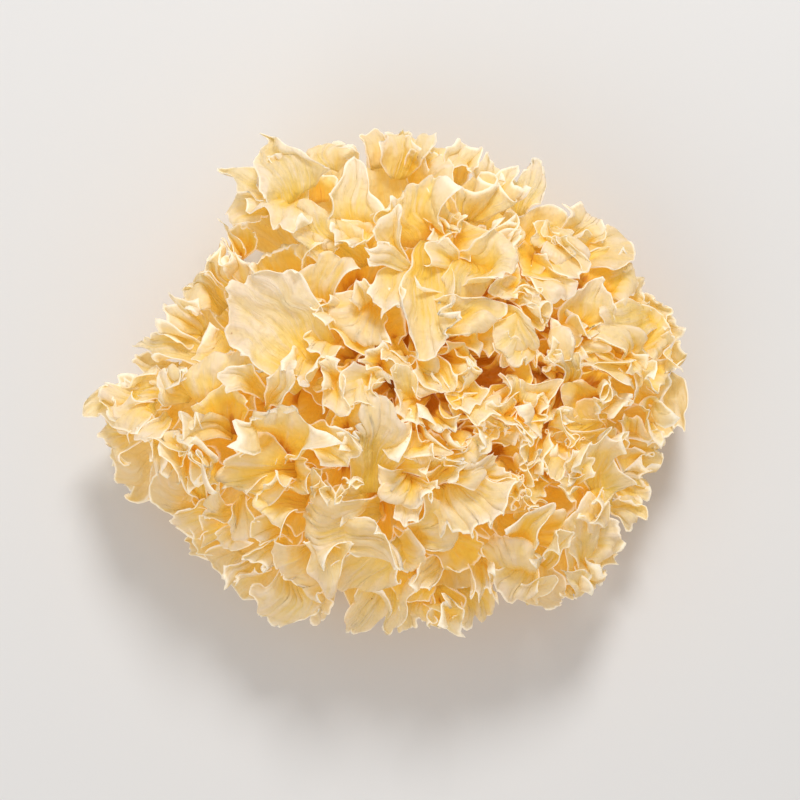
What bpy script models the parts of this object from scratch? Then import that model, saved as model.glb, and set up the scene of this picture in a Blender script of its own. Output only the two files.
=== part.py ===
# Dried snow fungus: a head of thin ruffled fronds that fork from one cut base.
# Units are metres, +Z up, and the origin is the centre of the cut that the head rests on.
import math
import random

import bmesh
import bpy
from mathutils import Vector, noise

MM = 0.001

# The base: a hard dimpled core with a flat cut under it. Every frond forks from its surface.
CORE_RADIUS = 20 * MM
CORE_HALF_HEIGHT = 16 * MM
CORE_CENTRE = Vector((0, 0, 9 * MM))
CORE_SEGMENTS = 16
CORE_RINGS = 8
CORE_DIMPLE = 0.09
DIMPLE_SCALE = 2.6
BASE_TONE = (0.62, 0.36, 0.12)

# The fronds: each is a ruffled sheet, narrow where it leaves the core and wide at its rim.
SHEET_THICKNESS = 1.5 * MM
ROOT_GAP = 0.3 * MM
FLOOR_CLEARANCE = 0.5 * MM
ROOT_WIDTH_SHARE = 0.70
RUFFLE_RISE = 2.1
WAVE_LENGTH = 16
ARCH = 0.42
ARCH_RADIUS = 86 * MM

# A slow drift bends every growth line, so that no frond runs straight out. All fronds share it.
DRIFT = 11 * MM
DRIFT_SCALE = 38 * MM
DRIFT_START = 22 * MM
DRIFT_FULL = 60 * MM
DRIFT_SEEDS = (Vector((3.1, 7.7, 1.4)), Vector((9.3, 2.2, 5.8)), Vector((6.5, 4.9, 8.6)))

# The rings of fronds, from the one under the head to the crown. A row is one frond: the compass
# angle of its rim in degrees, the rim's distance from the axis, its height and its half width in
# millimetres, and the turn of the sheet away from the ring in degrees.
RINGS = {
    "lower": {
        "tone": (0.76, 0.60, 0.37),
        "cells": (8, 3),
        "ruffle": 2.6 * MM,
        "curl": 2.0 * MM,
        "rows": [
            (13, 69, 3, 13, 8),
            (43, 62, 6, 14, -8),
            (72, 59, 6, 13, 8),
            (101, 60, 8, 14, -8),
            (131, 56, 4, 13, 8),
            (165, 56, 3, 13, -8),
            (188, 67, 4, 13, 6),
            (219, 63, 4, 14, -8),
            (250, 61, 4, 13, 8),
            (279, 62, 3, 13, -8),
            (309, 64, 4, 14, 8),
            (338, 67, 3, 13, -8),
        ],
    },
    "outer": {
        "tone": (0.80, 0.66, 0.44),
        "cells": (12, 4),
        "ruffle": 3.5 * MM,
        "curl": -2.0 * MM,
        "rows": [
            (359, 81, 28, 17.0, 4),
            (22, 79, 13, 15.5, 12),
            (43, 75, 29, 15.0, -8),
            (59, 72, 17, 13.0, 12),
            (82, 69, 30, 17.0, 8),
            (112, 79, 19, 15.0, -10),
            (123, 75, 32, 10.5, 6),
            (154, 62, 15, 14.0, 10),
            (174, 70, 24, 10.5, 6),
            (194, 90, 14, 16.5, -8),
            (217, 70, 23, 16.0, 8),
            (242, 76, 12, 15.0, -8),
            (267, 69, 21, 16.0, 10),
            (290, 73, 12, 17.0, -8),
            (313, 84, 25, 18.0, 6),
            (344, 76, 13, 16.0, -8),
        ],
    },
    "middle": {
        "tone": (0.87, 0.72, 0.46),
        "cells": (12, 4),
        "ruffle": 4.2 * MM,
        "curl": 1.5 * MM,
        "rows": [
            (10, 65, 38, 16.0, -14),
            (46, 55, 46, 17.0, 14),
            (82, 56, 43, 18.0, -12),
            (116, 52, 54, 17.0, 14),
            (150, 50, 40, 17.0, -14),
            (191, 62, 41, 18.0, 12),
            (226, 55, 43, 18.0, -14),
            (265, 57, 36, 16.5, 14),
            (302, 55, 41, 18.5, -12),
            (339, 62, 36, 17.0, 16),
        ],
    },
    "inner": {
        "tone": (0.91, 0.77, 0.51),
        "cells": (10, 3),
        "ruffle": 4.0 * MM,
        "curl": 1.5 * MM,
        "rows": [
            (20, 42, 55, 16.0, -16),
            (72, 34, 65, 15.5, 12),
            (128, 30, 68, 15.0, -14),
            (186, 35, 57, 16.0, 16),
            (244, 32, 56, 16.0, -14),
            (308, 36, 58, 16.0, 16),
        ],
    },
    "crown": {
        "tone": (0.93, 0.80, 0.56),
        "cells": (8, 3),
        "ruffle": 2.4 * MM,
        "curl": 1.0 * MM,
        "rows": [
            (70, 14, 73, 11.0, 22),
            (195, 13, 71, 11.0, 22),
            (320, 14, 70, 11.0, 22),
        ],
    },
}


def clear_scene():
    for thing in list(bpy.data.objects):
        bpy.data.objects.remove(thing)


def dry_material(name, tone, roughness):
    material = bpy.data.materials.new(name)
    material.use_nodes = True
    shader = material.node_tree.nodes["Principled BSDF"]
    shader.inputs["Base Color"].default_value = (*tone, 1)
    shader.inputs["Roughness"].default_value = roughness
    shader.inputs["Metallic"].default_value = 0
    return material


def core_reach(polar):
    """Distance from the core's centre to its surface, at an angle from the vertical."""
    return 1 / math.hypot(math.sin(polar) / CORE_RADIUS, math.cos(polar) / CORE_HALF_HEIGHT)


def lean_at(distance):
    """Growth lines start steep and arch outwards: the share of the rim's polar angle so far."""
    return 1 - ARCH * max(0, 1 - distance / ARCH_RADIUS) ** 2


def rim_point(row, across):
    """A point of the rim, seen from the core's centre, before it is ruffled."""
    angle, distance, height, half_width, turn = row
    angle = math.radians(angle)
    outward = Vector((math.cos(angle), math.sin(angle), 0))
    along = Vector((-math.sin(angle), math.cos(angle), 0))
    turned = math.radians(turn)
    stroke = along * math.cos(turned) + outward * math.sin(turned)
    normal = outward * math.cos(turned) - along * math.sin(turned)
    bow = half_width ** 2 / (1.9 * distance)
    plan = outward * distance + stroke * half_width * across - normal * bow * across ** 2
    sag = 0.12 * half_width * across ** 2
    return plan * MM + Vector((0, 0, (height - sag) * MM)) - CORE_CENTRE


def sheet_point(row, across, rise, shape):
    """A point of the frond's middle surface: across runs -1 to 1, rise from root 0 to rim 1."""
    spread = ROOT_WIDTH_SHARE + (1 - ROOT_WIDTH_SHARE) * rise
    rim = rim_point(row, across * spread)
    wave = 0.5 - 0.5 * math.cos(shape["lobes"] * math.pi * (across + 1) + shape["lobe_phase"])
    reach = rim.length * (1 - shape["lobe_depth"] * wave - shape["corner"] * abs(across) ** 5)
    rim_polar = math.acos(rim.z / rim.length)
    seed_polar = rim_polar / lean_at(rim.length)
    start = core_reach(seed_polar * lean_at(CORE_RADIUS)) + ROOT_GAP
    distance = start + (reach - start) * rise
    polar = seed_polar * lean_at(distance)
    heading = math.atan2(rim.y, rim.x)
    direction = Vector((
        math.sin(polar) * math.cos(heading),
        math.sin(polar) * math.sin(heading),
        math.cos(polar),
    ))
    return drifted(direction * distance)


def drifted(point):
    """The shared drift, which fades out at the core so that the roots stay on its surface."""
    share = (point.length - DRIFT_START) / (DRIFT_FULL - DRIFT_START)
    share = min(max(share, 0), 1)
    pull = Vector([noise.noise(point / DRIFT_SCALE + seed) for seed in DRIFT_SEEDS])
    return CORE_CENTRE + point + pull * DRIFT * share * share * (3 - 2 * share)


def swing_at(across, rise, shape):
    """How far the sheet swings to one side: two unlike waves, a cupping and a curled rim."""
    slow = math.sin(shape["waves"] * math.pi * across + shape["phase"])
    fast = 0.38 * math.sin(1.9 * shape["waves"] * math.pi * across + 2.3 * shape["phase"])
    ruffle = shape["ruffle"] * rise ** RUFFLE_RISE * (slow + fast)
    return ruffle + shape["cup"] * across ** 2 * rise + shape["curl"] * rise ** 4


def sheet_grid(row, shape, cells):
    """Rows of points from the root to the rim, swung along the sheet's normal."""
    wide, tall = cells
    flat = [
        [sheet_point(row, 2 * i / wide - 1, j / tall, shape) for i in range(wide + 1)]
        for j in range(tall + 1)
    ]
    grid = []
    for j, line in enumerate(flat):
        points = []
        for i, point in enumerate(line):
            side = line[min(i + 1, wide)] - line[max(i - 1, 0)]
            up = flat[min(j + 1, tall)][i] - flat[max(j - 1, 0)][i]
            swing = swing_at(2 * i / wide - 1, j / tall, shape)
            moved = point + side.cross(up).normalized() * swing
            moved.z = max(moved.z, FLOOR_CLEARANCE + SHEET_THICKNESS / 2)
            points.append(moved)
        grid.append(points)
    return grid


def frond(name, grid, material):
    """One frond: a grid laid on its middle surface and given its thickness by Solidify."""
    mesh = bpy.data.meshes.new(name)
    body = bmesh.new()
    lines = [[body.verts.new(point) for point in line] for line in grid]
    for below, above in zip(lines, lines[1:]):
        for i in range(len(below) - 1):
            body.faces.new((below[i], below[i + 1], above[i + 1], above[i]))
    body.to_mesh(mesh)
    body.free()
    mesh.materials.append(material)
    thing = bpy.data.objects.new(name, mesh)
    bpy.context.collection.objects.link(thing)
    solid = thing.modifiers.new("Thickness", "SOLIDIFY")
    solid.thickness = SHEET_THICKNESS
    solid.offset = 0
    return thing


def core(name, material):
    """The base: a dimpled dome, cut off flat at the height the head rests on."""
    mesh = bpy.data.meshes.new(name)
    body = bmesh.new()
    bmesh.ops.create_uvsphere(body, u_segments=CORE_SEGMENTS, v_segments=CORE_RINGS, radius=1)
    for corner in body.verts:
        corner.co *= 1 - CORE_DIMPLE * (0.5 + 0.5 * noise.noise(corner.co * DIMPLE_SCALE))
        corner.co.x *= CORE_RADIUS
        corner.co.y *= CORE_RADIUS
        corner.co.z *= CORE_HALF_HEIGHT
        corner.co += CORE_CENTRE
    everything = body.verts[:] + body.edges[:] + body.faces[:]
    cut = bmesh.ops.bisect_plane(
        body, geom=everything, plane_co=(0, 0, 0), plane_no=(0, 0, -1), clear_outer=True, dist=1e-7
    )
    rim = [part for part in cut["geom_cut"] if isinstance(part, bmesh.types.BMEdge)]
    bmesh.ops.contextual_create(body, geom=rim)
    bmesh.ops.recalc_face_normals(body, faces=body.faces[:])
    body.to_mesh(mesh)
    body.free()
    mesh.materials.append(material)
    mesh.shade_smooth()
    mesh.set_sharp_from_angle(angle=math.radians(50))
    thing = bpy.data.objects.new(name, mesh)
    bpy.context.collection.objects.link(thing)
    return thing


def main():
    clear_scene()
    core("base", dry_material("hard_base", BASE_TONE, 0.7))
    chance = random.Random(7)
    for ring, values in RINGS.items():
        material = dry_material(f"{ring}_frond", values["tone"], 0.55)
        for number, row in enumerate(values["rows"], 1):
            shape = {
                "ruffle": values["ruffle"] * chance.uniform(0.75, 1.0),
                "curl": values["curl"],
                "cup": chance.uniform(-2.5, 2.5) * MM,
                "waves": row[3] / WAVE_LENGTH * chance.uniform(1.7, 2.2),
                "phase": chance.uniform(0, 2 * math.pi),
                "lobes": chance.uniform(1.2, 2.2),
                "lobe_phase": chance.uniform(0, 2 * math.pi),
                "lobe_depth": chance.uniform(0.05, 0.11),
                "corner": chance.uniform(0.05, 0.12),
            }
            frond(f"{ring}_frond_{number:02d}", sheet_grid(row, shape, values["cells"]), material)


main()
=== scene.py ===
import math
import random

import bpy
import numpy as np
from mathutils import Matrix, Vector, noise


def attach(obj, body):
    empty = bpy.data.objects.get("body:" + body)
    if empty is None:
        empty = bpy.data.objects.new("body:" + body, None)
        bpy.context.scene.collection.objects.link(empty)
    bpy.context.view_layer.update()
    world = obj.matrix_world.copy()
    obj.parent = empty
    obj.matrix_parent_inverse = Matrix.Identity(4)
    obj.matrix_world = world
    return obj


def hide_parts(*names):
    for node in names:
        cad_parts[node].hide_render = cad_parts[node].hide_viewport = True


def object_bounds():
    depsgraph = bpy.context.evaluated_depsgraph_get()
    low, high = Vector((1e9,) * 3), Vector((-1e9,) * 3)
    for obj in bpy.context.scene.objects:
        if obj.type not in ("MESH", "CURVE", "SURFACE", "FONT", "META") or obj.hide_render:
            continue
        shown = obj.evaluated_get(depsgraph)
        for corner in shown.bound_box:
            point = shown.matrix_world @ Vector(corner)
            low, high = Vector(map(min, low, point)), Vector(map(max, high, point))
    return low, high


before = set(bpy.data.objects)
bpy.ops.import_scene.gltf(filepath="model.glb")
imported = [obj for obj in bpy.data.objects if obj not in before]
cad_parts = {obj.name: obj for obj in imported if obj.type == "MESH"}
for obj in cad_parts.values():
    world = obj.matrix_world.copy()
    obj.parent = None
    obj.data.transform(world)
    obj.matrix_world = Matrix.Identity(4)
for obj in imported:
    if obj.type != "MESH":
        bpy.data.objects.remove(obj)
cadLow, cadHigh = [list(corner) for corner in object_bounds()]
mm = 0.001


# Shader maths

class Wire:
    # One socket that can be used in an expression.
    def __init__(self, finish, socket):
        self.finish = finish
        self.socket = socket

    def math(self, operation, *values):
        return self.finish.node("ShaderNodeMath", {"operation": operation}, dict(enumerate(values)))

    def __add__(self, other):
        return self.math("ADD", self, other)

    def __radd__(self, other):
        return self.math("ADD", other, self)

    def __sub__(self, other):
        return self.math("SUBTRACT", self, other)

    def __rsub__(self, other):
        return self.math("SUBTRACT", other, self)

    def __mul__(self, other):
        return self.math("MULTIPLY", self, other)

    def __rmul__(self, other):
        return self.math("MULTIPLY", other, self)

    def ramp(self, low, high):
        # 0 at low, 1 at high, smooth between them
        values = {"Value": self, "From Min": low, "From Max": high}
        return self.finish.node("ShaderNodeMapRange", {"interpolation_type": "SMOOTHSTEP"}, values)


class Finish:
    # A material, and the one way in which it gets its nodes.
    def __init__(self, name):
        self.material = bpy.data.materials.new(name)
        self.material.use_nodes = True
        self.nodes = self.material.node_tree.nodes
        self.links = self.material.node_tree.links
        self.shader = self.nodes["Principled BSDF"]
        self.output = self.nodes["Material Output"]

    def node(self, kind, settings, values, out=0):
        made = self.nodes.new(kind)
        for name, value in settings.items():
            setattr(made, name, value)
        self.fill(made, values)
        return Wire(self, made.outputs[out])

    def fill(self, made, values):
        for name, value in values.items():
            if isinstance(value, Wire):
                self.links.new(value.socket, made.inputs[name])
            else:
                made.inputs[name].default_value = value

    def mix(self, share, first, second):
        # colours: sockets 6 and 7 of the Mix node are A and B, and output 2 is the colour
        return self.node("ShaderNodeMix", {"data_type": "RGBA"}, {0: share, 6: first, 7: second}, out=2)

    def noise(self, vector, scale, detail, **settings):
        values = {"Vector": vector, "Scale": scale, "Detail": detail}
        return self.node("ShaderNodeTexNoise", settings, values)

    def stretched(self, vector, stretch):
        return self.node("ShaderNodeVectorMath", {"operation": "MULTIPLY"}, {0: vector, 1: stretch})

    def attribute(self, name, out="Fac"):
        return self.node("ShaderNodeAttribute", {"attribute_name": name}, {}, out=out)


# Growth: the same growth lines as the solids have, so that each frond keeps to its own solid

middleHeight = 9     # in mm, where the growth lines start and the dome stands
growth = {
    "centre": np.array([0, 0, middleHeight]) * mm,
    "coreRadius": 20 * mm,
    "coreHalfHeight": 16 * mm,
    "rootGap": 0.3 * mm,
    "floorClearance": 1.0 * mm,
    "arch": 0.42,
    "archRadius": 86 * mm,
    "drift": 11 * mm,
    "driftScale": 38 * mm,
    "driftStart": 22 * mm,
    "driftFull": 60 * mm,
    "driftSeeds": (Vector((3.1, 7.7, 1.4)), Vector((9.3, 2.2, 5.8)), Vector((6.5, 4.9, 8.6))),
    "rootWidthShare": 0.70,
    "bow": 1.9,                # the rim bends back by halfWidth ** 2 / (bow * distance)
    "bowDistance": 8,          # the least distance in mm for that
    "droop": 0.12,             # how far the rim's ends hang, as a share of the half width
    "ruffleRise": 2.1,
    "curlRise": 4,
    "waveLength": 16,
    "fastWaves": 1.9,          # a second, smaller wave over the first
    "fastPhase": 2.3,
    "fastShare": 0.38,
}

# A row is one main frond, as in the solids: its rim's compass angle in degrees, distance, height
# and half width in mm, and the turn of the sheet in degrees. Ruffle and curl are in mm too.
# Reach is the share of the way to the rim that the sheet grows here, among the petals.
rings = {
    "lower": {"ruffle": 2.6, "curl": 2.0, "reach": 1.0, "rows": [
        (13, 69, 3, 13, 8), (43, 62, 6, 14, -8), (72, 59, 6, 13, 8), (101, 60, 8, 14, -8),
        (131, 56, 4, 13, 8), (165, 56, 3, 13, -8), (188, 67, 4, 13, 6), (219, 63, 4, 14, -8),
        (250, 61, 4, 13, 8), (279, 62, 3, 13, -8), (309, 64, 4, 14, 8), (338, 67, 3, 13, -8),
    ]},
    "outer": {"ruffle": 3.5, "curl": -2.0, "reach": 0.97, "rows": [
        (359, 81, 28, 17.0, 4), (22, 79, 13, 15.5, 12), (43, 75, 29, 15.0, -8),
        (59, 72, 17, 13.0, 12), (82, 69, 30, 17.0, 8), (112, 79, 19, 15.0, -10),
        (123, 75, 32, 10.5, 6), (154, 62, 15, 14.0, 10), (174, 70, 24, 10.5, 6),
        (194, 90, 14, 16.5, -8), (217, 70, 23, 16.0, 8), (242, 76, 12, 15.0, -8),
        (267, 69, 21, 16.0, 10), (290, 73, 12, 17.0, -8), (313, 84, 25, 18.0, 6),
        (344, 76, 13, 16.0, -8),
    ]},
    "middle": {"ruffle": 4.2, "curl": 1.5, "reach": 0.86, "rows": [
        (10, 65, 38, 16.0, -14), (46, 55, 46, 17.0, 14), (82, 56, 43, 18.0, -12),
        (116, 52, 54, 17.0, 14), (150, 50, 40, 17.0, -14), (191, 62, 41, 18.0, 12),
        (226, 55, 43, 18.0, -14), (265, 57, 36, 16.5, 14), (302, 55, 41, 18.5, -12),
        (339, 62, 36, 17.0, 16),
    ]},
    "inner": {"ruffle": 4.0, "curl": 1.5, "reach": 0.78, "rows": [
        (20, 42, 55, 16.0, -16), (72, 34, 65, 15.5, 12), (128, 30, 68, 15.0, -14),
        (186, 35, 57, 16.0, 16), (244, 32, 56, 16.0, -14), (308, 36, 58, 16.0, 16),
    ]},
    "crown": {"ruffle": 2.4, "curl": 1.0, "reach": 0.7, "rows": [
        (70, 14, 73, 11.0, 22), (195, 13, 71, 11.0, 22), (320, 14, 70, 11.0, 22),
    ]},
}


def coreReach(polar):
    across = np.sin(polar) / growth["coreRadius"]
    up = np.cos(polar) / growth["coreHalfHeight"]
    return 1 / np.hypot(across, up)


def leanAt(distance):
    return 1 - growth["arch"] * np.maximum(0, 1 - distance / growth["archRadius"]) ** 2


def drifted(points):
    # the slow drift of the growth lines, which fades out at the core
    far = np.linalg.norm(points, axis=-1)
    share = np.clip((far - growth["driftStart"]) / (growth["driftFull"] - growth["driftStart"]), 0, 1)
    share = share * share * (3 - 2 * share) * growth["drift"]
    flat = points.reshape(-1, 3) / growth["driftScale"]
    pull = [[noise.noise(Vector(point) + seed) for seed in growth["driftSeeds"]] for point in flat]
    return growth["centre"] + points + np.array(pull).reshape(points.shape) * share[..., None]


def growthSheet(row, across, rise, reachShare, start):
    # the smooth middle surface of a frond, over grids of across (-1 to 1) and rise (0 to 1)
    angle, distance, height, halfWidth, turn = row
    angle, turn = math.radians(angle), math.radians(turn)
    outward = np.array([math.cos(angle), math.sin(angle), 0])
    along = np.array([-math.sin(angle), math.cos(angle), 0])
    stroke = along * math.cos(turn) + outward * math.sin(turn)
    normal = outward * math.cos(turn) - along * math.sin(turn)
    spread = growth["rootWidthShare"] + (1 - growth["rootWidthShare"]) * rise
    side = (across * spread)[..., None]
    bow = halfWidth ** 2 / (growth["bow"] * max(distance, growth["bowDistance"]))
    rim = outward * distance + stroke * halfWidth * side - normal * bow * side ** 2
    rim = rim + np.array([0, 0, 1]) * (height - growth["droop"] * halfWidth * side ** 2)
    rim = rim * mm - growth["centre"]
    rimLength = np.linalg.norm(rim, axis=-1)
    rimPolar = np.arccos(rim[..., 2] / rimLength)
    seedPolar = rimPolar / leanAt(rimLength)
    root = coreReach(seedPolar * leanAt(growth["coreRadius"])) + growth["rootGap"]
    first = root + (rimLength - root) * start
    far = first + (rimLength * reachShare - first) * rise
    polar = seedPolar * leanAt(far)
    heading = np.arctan2(rim[..., 1], rim[..., 0])
    direction = [np.sin(polar) * np.cos(heading), np.sin(polar) * np.sin(heading), np.cos(polar)]
    return drifted(np.stack(direction, -1) * far[..., None])


def sampleField(field, places):
    # a value, or a vector, from a grid of them, between its cells
    low = np.floor(places).astype(int)
    part = places - low
    total = 0
    for corner in range(8):
        offset = np.array([corner & 1, corner >> 1 & 1, corner >> 2 & 1])
        share = np.prod(np.where(offset, part, 1 - part), axis=-1)
        spot = (low + offset) % field.shape[:3]
        value = field[spot[..., 0], spot[..., 1], spot[..., 2]]
        total = total + (value * share[..., None] if value.ndim > share.ndim else value * share)
    return total


def roughField(points, length, seed, parts=3, cells=32, offset=100):
    # random vectors that change smoothly over about this length; the offset keeps places above 0
    values = np.random.RandomState(seed).uniform(-1, 1, (cells, cells, cells, parts))
    places = points / length + offset
    low = np.floor(places)
    part = places - low
    return sampleField(values, low + part * part * (3 - 2 * part))


# One crumpling for the whole head, so that sheets that lie side by side fold together

# A row is the length over which it changes, its size, and its seed.
crumple = {
    "start": 24 * mm,
    "full": 50 * mm,
    "least": 0.15,
    "sharpness": 2.2,
    "turns": [(17 * mm, 2.8 * mm, 3), (8 * mm, 2.3 * mm, 4), (4.2 * mm, 1.0 * mm, 7)],
    "creases": [(6.0 * mm, 0.40 * mm, 5), (2.6 * mm, 0.20 * mm, 6)],
}


def crumpled(points):
    far = np.linalg.norm(points - growth["centre"], axis=-1)
    share = (far - crumple["start"]) / (crumple["full"] - crumple["start"])
    share = np.clip(share, crumple["least"], 1)[..., None]
    for length, size, seed in crumple["turns"]:
        points = points + roughField(points, length, seed) * size * share
    normal = sheetAxes(points)[2]
    for length, size, seed in crumple["creases"]:
        ridge = 1 - crumple["sharpness"] * np.abs(roughField(points, length, seed, 1))
        points = points + normal * ridge * size * share
    return points


# Ruffles: a thin edge that has grown longer than its sheet folds to and fro

def sheetAxes(points):
    side = np.gradient(points, axis=1)
    up = np.gradient(points, axis=0)
    normal = np.cross(side, up)
    for axes in (side, up, normal):
        axes /= np.linalg.norm(axes, axis=-1, keepdims=True) + 1e-12
    return side, up, normal


def wander(places, seed, octaves=3, slowest=2.2):
    # a slow random wave along one or two axes, between about -1 and 1
    generator = np.random.RandomState(seed)
    total = 0
    for octave in range(octaves):
        tilt = generator.uniform(-1, 1, len(places))
        tilt /= np.abs(tilt).sum()
        turn = generator.uniform(0, 2 * math.pi)
        along = sum(t * p for t, p in zip(tilt, places))
        total = total + np.sin(along * (slowest + octave) + turn)
    return total / 2


meander = {
    "cupPower": 1.5,
    "cupRise": 0.7,
    "wander": 1.6,
    "swell": 0.75,
    "swellVary": 0.35,
    "leastRun": 0.25,
}


def ruffled(points, across, rise, frond):
    # Folds the sheet sideways like a meander. Each fold is (length in mm, strength, rise power).
    side, normal = sheetAxes(points)[::2]
    steps = np.linalg.norm(np.diff(points, axis=1), axis=-1)
    wide = steps.sum(axis=1, keepdims=True)
    place = (across + 1) / 2
    rimWide = wide[-1, 0]
    heading = math.radians(frond.get("cupTurn", 0)) * across
    heading = heading * np.abs(across) ** meander["cupPower"] * rise ** meander["cupRise"]
    for number, (length, strength, power) in enumerate(frond["folds"]):
        seed = frond["seed"] * 10 + number
        count = rimWide / (length * mm)
        phase = wander((place * count, rise * 2), seed) * meander["wander"]
        swell = wander((place * count / 2, rise * 1.5), seed + 5)
        swell = meander["swell"] + meander["swellVary"] * swell
        turn = np.random.RandomState(seed).uniform(0, 6.28)
        wave = np.sin(2 * math.pi * place * count + phase + turn)
        heading = heading + strength * swell * rise ** power * wave
    cells = across.shape[1] - 1
    middle = (heading[:, 1:] + heading[:, :-1]) / 2
    zero = np.zeros((len(points), 1))
    run = np.concatenate([zero, np.cumsum(np.cos(middle), axis=1)], axis=1) / cells
    swing = np.concatenate([zero, np.cumsum(np.sin(middle), axis=1)], axis=1) / cells
    length = np.maximum(run[:, -1:], meander["leastRun"])
    swing = (swing - swing[:, -1:] * place) / length
    swing = swing - swing.mean(axis=1, keepdims=True)
    run = run / length
    return points + side * ((run - place) * wide)[..., None] + normal * (swing * wide)[..., None]


curl = {"lipWidth": 1.5 * mm, "vary": 0.5}


def curled(points, across, rise, frond):
    # Rolls the sheet about its width as it nears the rim: plus is outwards and down.
    up, normal = sheetAxes(points)[1:]
    tall = np.linalg.norm(np.diff(points, axis=0), axis=-1).sum(axis=0, keepdims=True)
    vary = 1 + curl["vary"] * wander((across * 2, rise), frond["seed"] + 77)
    lip = np.maximum(0, 1 - (1 - rise) * tall / curl["lipWidth"]) ** 2
    angle = math.radians(frond["roll"]) * rise ** frond["rollPower"] * vary
    angle = angle + math.radians(frond["lip"]) * lip
    step = np.diff(rise, axis=0) * tall
    middle = (angle[1:] + angle[:-1]) / 2
    zero = np.zeros((1, points.shape[1]))
    ahead = np.concatenate([zero, np.cumsum((np.cos(middle) - 1) * step, axis=0)])
    aside = np.concatenate([zero, np.cumsum(np.sin(middle) * step, axis=0)])
    cup = frond.get("cup", 0) * mm * across ** 2 * rise
    return points + up * ahead[..., None] + normal * (aside + cup)[..., None]


rimWaves = {"counts": (9, 17, 31), "vary": (0.8, 1.2)}


def rimShape(across, frond):
    # how far each line of growth gets: lobes, rounded corners and a ragged edge
    generator = random.Random(frond["seed"])
    lobes = 0.5 - 0.5 * np.cos(frond["lobes"] * math.pi * (across + 1) + frond["lobePhase"])
    ragged = 0
    for count in rimWaves["counts"]:
        wave = across * count / 2 * generator.uniform(*rimWaves["vary"]) + generator.uniform(0, 6.28)
        ragged = ragged + 2 * np.abs(np.sin(wave)) - 1
    share = 1 - frond["lobeDepth"] * lobes - frond["corner"] * np.abs(across) ** frond["cornerPower"]
    share = share - frond["ragged"] * (0.5 - ragged / 6)
    return share / share.max() if "sink" in frond else share


def growFrond(frond):
    # returns the points of the middle surface, from root to rim
    cells, rows = frond["cells"]
    rises = 1 - (1 - np.linspace(0, 1, rows + 1)) ** 1.4     # closer together towards the rim
    across, rise = np.meshgrid(np.linspace(-1, 1, cells + 1), rises)
    reach = rimShape(across, frond) * frond["reach"]
    if "sink" in frond:
        points = petalSheet(frond, across, rise, reach)
    else:
        points = growthSheet(frond["row"], across, rise, reach, frond["start"])
    if frond.get("swing"):
        normal = sheetAxes(points)[2]
        swing = frond["swing"]
        slow = np.sin(swing["waves"] * math.pi * across + swing["phase"])
        fastPhase = growth["fastPhase"] * swing["phase"]
        fast = np.sin(growth["fastWaves"] * swing["waves"] * math.pi * across + fastPhase)
        fast = growth["fastShare"] * fast
        shift = swing["ruffle"] * rise ** growth["ruffleRise"] * (slow + fast)
        shift = shift + swing["cup"] * across ** 2 * rise + swing["curl"] * rise ** growth["curlRise"]
        points = points + normal * shift[..., None] * mm
    points = curled(points, across, rise, frond)
    points = ruffled(points, across, rise, frond)
    points = crumpled(points)
    for turn in range(1 if "sink" in frond else 2):          # takes out the sharpest bends
        points[:, 1:-1] = points[:, 1:-1] / 2 + (points[:, :-2] + points[:, 2:]) / 4
        points[1:-1] = points[1:-1] / 2 + (points[:-2] + points[2:]) / 4
    return keptInside(points), across, rise


def domeHeight(x, y):
    # the height in mm of the head's outer surface over a place in mm
    heading = np.degrees(np.arctan2(y, x)) % 360
    share = np.hypot(x, y) / (outlineReach(heading) * dome["spread"])
    return dome["foot"] + dome["rise"] * np.sqrt(np.maximum(1 - share ** 2, dome["least"]))


petalShape = {"widening": 0.6, "uneven": 0.09, "unevenWaves": 5, "sinkPower": 1.4}


def petalSheet(frond, across, rise, reachShare):
    # the smooth middle surface of a petal that leans on the dome, with its root sunk into the head
    rootX, rootY, tipX, tipY, halfWidth, lift = frond["row"]
    length = math.hypot(tipX - rootX, tipY - rootY)
    alongX, alongY = (tipX - rootX) / length, (tipY - rootY) / length
    far = rise * reachShare * length
    spread = frond["rootShare"] + (1 - frond["rootShare"]) * rise ** petalShape["widening"]
    sides = (rise * petalShape["unevenWaves"], np.sign(across) * 2)
    uneven = 1 + petalShape["uneven"] * wander(sides, frond["seed"] + 40)
    aside = across * halfWidth * spread * uneven + frond["sweep"] * np.sin(math.pi * rise)
    x = rootX + alongX * far + alongY * aside
    y = rootY + alongY * far - alongX * aside
    z = domeHeight(x, y) + lift - frond["sink"] * (1 - rise) ** petalShape["sinkPower"]
    return np.stack([x, y, z], -1) * mm


boxEdge = {"soft": np.array([1.5, 1.5, 1]) * mm, "gap": 0.6 * mm}


def keptInside(points):
    # squeezes what comes near the sides of the solids' box back into it, softly
    soft = boxEdge["soft"]
    low = np.array(cadLow) + boxEdge["gap"]
    high = np.array(cadHigh) - boxEdge["gap"]
    low[2] = growth["floorClearance"]
    over = points - (high - soft)
    points = np.where(over > 0, high - soft * np.exp(-np.maximum(over, 0) / soft), points)
    under = (low + soft) - points
    return np.where(under > 0, low + soft * np.exp(-np.maximum(under, 0) / soft), points)


# The main fronds, drawn in the same order and from the same seed as in the solids

mainFrond = {
    "cells": (44, 16),
    "folds": [(13, 0.55, 1.6), (6.0, 0.4, 3.0)],
    "ragged": 0.05,
    "cornerPower": 5,
    "roll": 0,
    "rollPower": 3,
    "lip": 40,
}

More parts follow.
